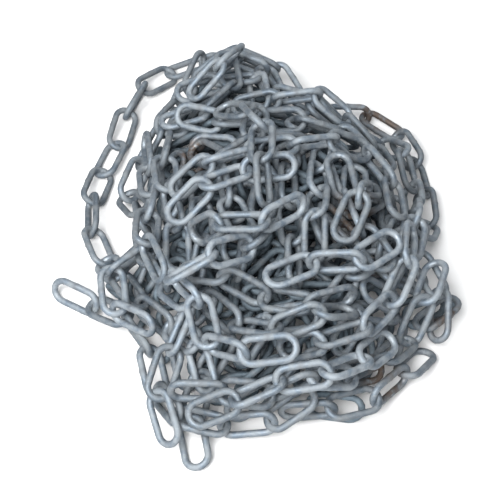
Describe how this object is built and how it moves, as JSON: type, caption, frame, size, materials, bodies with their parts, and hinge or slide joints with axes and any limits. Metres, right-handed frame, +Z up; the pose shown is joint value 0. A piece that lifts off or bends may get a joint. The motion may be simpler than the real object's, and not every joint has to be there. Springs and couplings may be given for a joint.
{
  "type": "heap of steel chain",
  "caption": "Round, tangled heap of galvanised welded long-link steel chain, with one strand lying loose beside it and both end links free.",
  "frame": {"origin": "middle of the heap's outline on the floor that it lies on", "axes": "+Z up from the floor, +Y away from the viewer's side, towards the heap's smaller lobe, +X to the viewer's right, away from the loose strand"},
  "size_m": [0.3936, 0.5225, 0.1577],
  "materials": {
    "zinc": "dull hot-dip galvanised zinc, lightly scuffed",
    "buried_zinc": "dull hot-dip galvanised zinc in shade"
  },
  "bodies": {
    "root": {"arm_strand": "zinc", "back_middle_strand_1": "zinc", "back_middle_strand_2": "zinc", "back_strand_1": "zinc", "back_strand_2": "zinc", "buried_links_core": "buried_zinc", "front_corner_strand": "zinc", "front_edge_strand": "zinc", "front_end_strand": "zinc", "front_left_strand": "zinc", "front_low_strand_1": "zinc", "front_low_strand_2": "zinc", "front_middle_strand": "zinc", "front_right_strand_1": "zinc", "front_right_strand_2": "zinc", "front_rim_strand": "zinc", "front_strand_1": "zinc", "front_strand_2": "zinc", "front_upper_strand": "zinc", "left_low_strand_1": "zinc", "left_low_strand_2": "zinc", "left_side_strand_1": "zinc", "left_side_strand_2": "zinc", "left_side_strand_3": "zinc", "left_strand": "zinc", "lobe_cross_strand": "zinc", "lobe_low_strand_1": "zinc", "lobe_low_strand_2": "zinc", "lobe_middle_strand": "zinc", "lobe_top_strand": "zinc", "loose_strand_1": "zinc", "loose_strand_2": "zinc", "loose_strand_3": "zinc", "loose_strand_4": "zinc", "middle_strand_a": "zinc", "middle_strand_b": "zinc", "middle_strand_c": "zinc", "middle_strand_d": "zinc", "middle_strand_e": "zinc", "middle_strand_f": "zinc", "middle_strand_g": "zinc", "middle_strand_h": "zinc", "middle_strand_i": "zinc", "middle_strand_j": "zinc", "right_strand_1": "zinc", "right_strand_2": "zinc", "right_strand_3": "zinc", "rim_strand_1": "zinc", "rim_strand_2": "zinc", "rim_strand_3": "zinc", "rim_strand_4": "zinc", "top_strand_a_1": "zinc", "top_strand_a_2": "zinc", "top_strand_b": "zinc", "top_strand_c": "zinc"}
  },
  "joints": []
}
